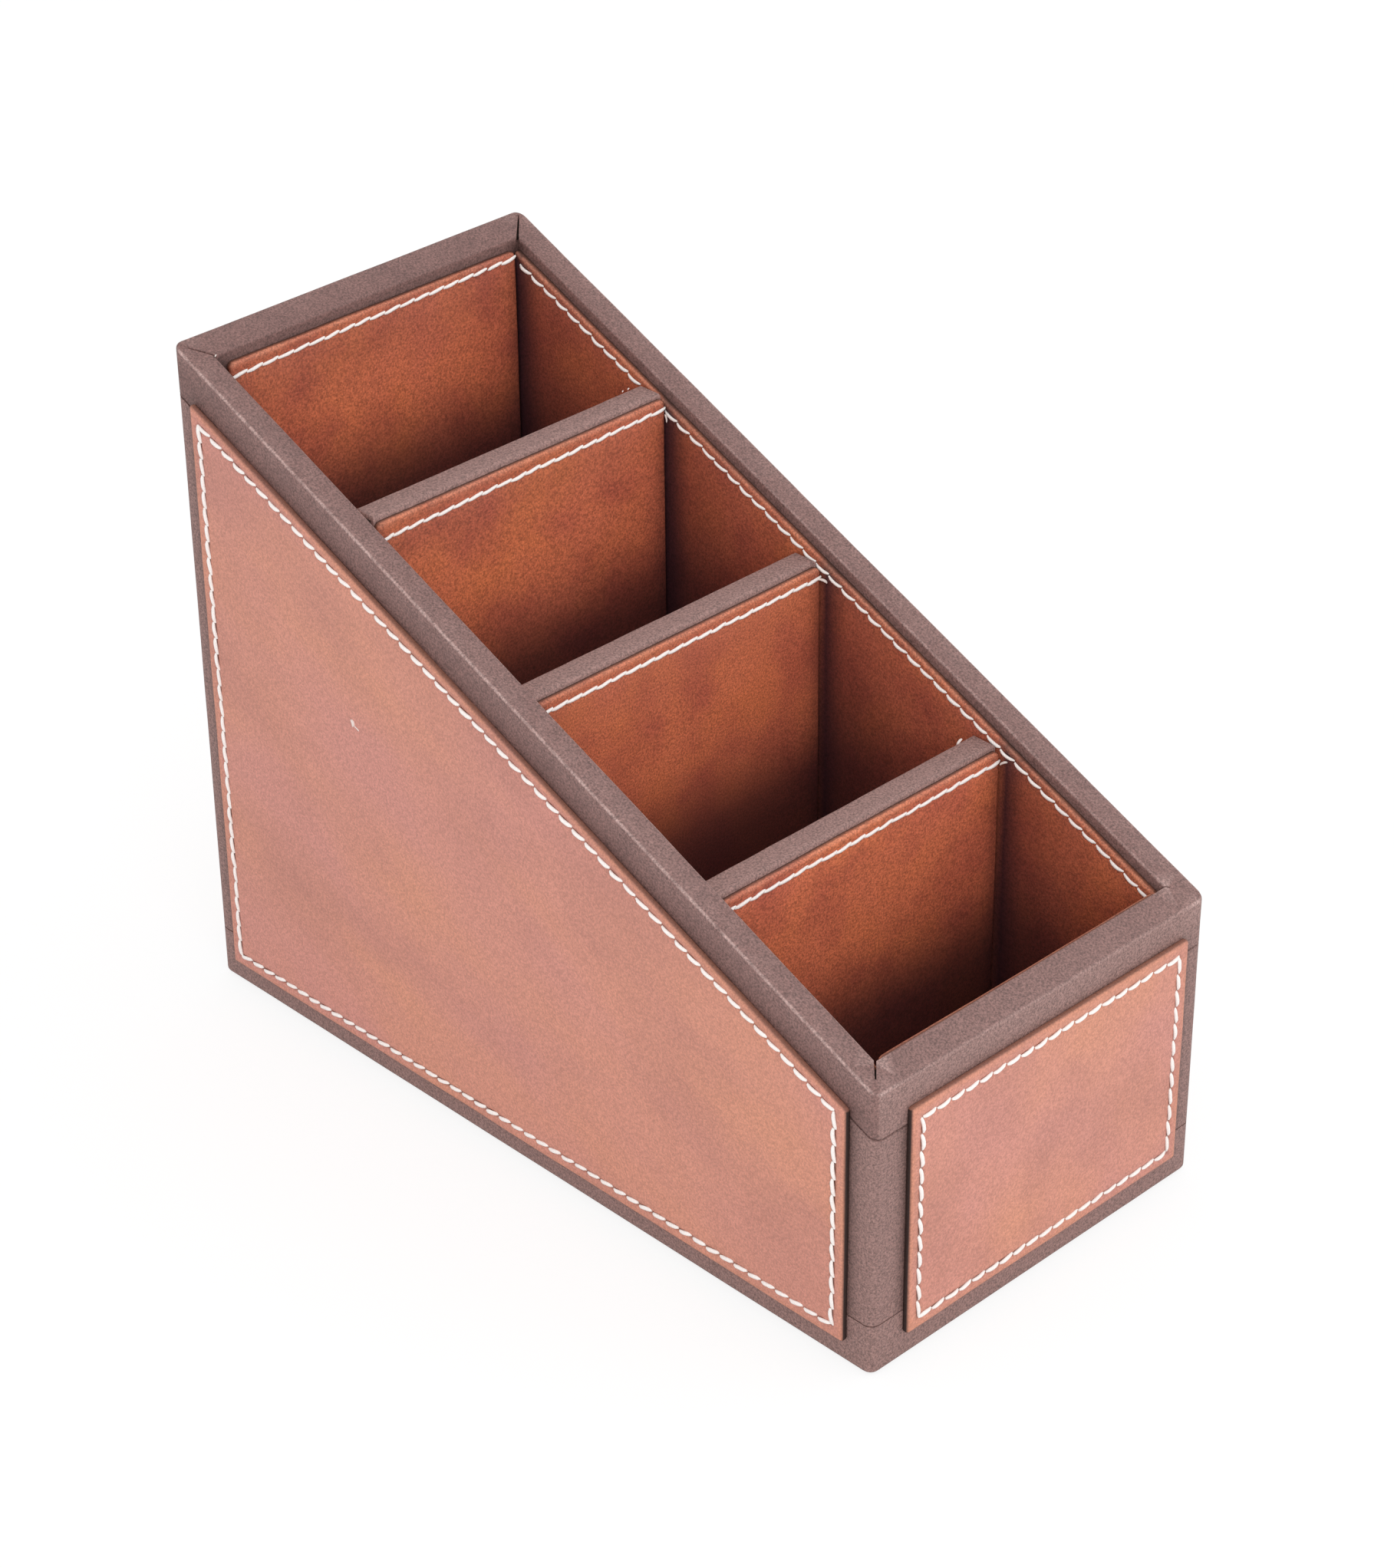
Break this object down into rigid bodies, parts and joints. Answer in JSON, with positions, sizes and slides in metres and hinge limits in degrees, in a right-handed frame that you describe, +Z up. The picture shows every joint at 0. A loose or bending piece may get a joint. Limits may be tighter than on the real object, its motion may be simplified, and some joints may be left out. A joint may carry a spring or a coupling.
{
  "type": "pen organizer",
  "caption": "Slope-topped desk box of leather-covered boards, with stitched tan panels, dark bound edges and divided upright compartments for pens and stationery.",
  "frame": {"origin": "middle of the underside, on the desk", "axes": "+Y from the low front to the tall back, +X across to the right as seen from the front, +Z up"},
  "size_m": [0.1002, 0.2046, 0.1553],
  "materials": {
    "core_board": "matte",
    "binding_leather": "satin",
    "panel_leather": "satin",
    "lining_leather": "satin",
    "floor_leather": "matte",
    "base_felt": "matte",
    "thread": "matte"
  },
  "bodies": {
    "root": {"back_board": "core_board", "back_floor_lining": "floor_leather", "back_lining": "lining_leather", "back_lining_stitching": "thread", "back_panel": "panel_leather", "back_panel_stitching": "thread", "base_binding": "binding_leather", "base_board": "core_board", "base_sheet": "base_felt", "front_board": "core_board", "front_divider_board": "core_board", "front_divider_cap": "binding_leather", "front_divider_front_lining": "lining_leather", "front_divider_front_lining_stitching": "thread", "front_divider_rear_lining": "lining_leather", "front_divider_rear_lining_stitching": "thread", "front_floor_lining": "floor_leather", "front_lining": "lining_leather", "front_lining_stitching": "thread", "front_panel": "panel_leather", "front_panel_stitching": "thread", "left_panel": "panel_leather", "left_panel_stitching": "thread", "middle_divider_board": "core_board", "middle_divider_cap": "binding_leather", "middle_divider_front_lining": "lining_leather", "middle_divider_front_lining_stitching": "thread", "middle_divider_rear_lining": "lining_leather", "middle_divider_rear_lining_stitching": "thread", "rear_divider_board": "core_board", "rear_divider_cap": "binding_leather", "rear_divider_front_lining": "lining_leather", "rear_divider_front_lining_stitching": "thread", "rear_divider_rear_lining": "lining_leather", "rear_divider_rear_lining_stitching": "thread", "right_panel": "panel_leather", "right_panel_stitching": "thread", "rim_binding": "binding_leather", "second_floor_lining": "floor_leather", "side_board_left": "core_board", "side_board_right": "core_board", "side_lining_left": "lining_leather", "side_lining_left_stitching": "thread", "side_lining_right": "lining_leather", "side_lining_right_stitching": "thread", "third_floor_lining": "floor_leather", "wall_wrap": "binding_leather"}
  },
  "joints": []
}
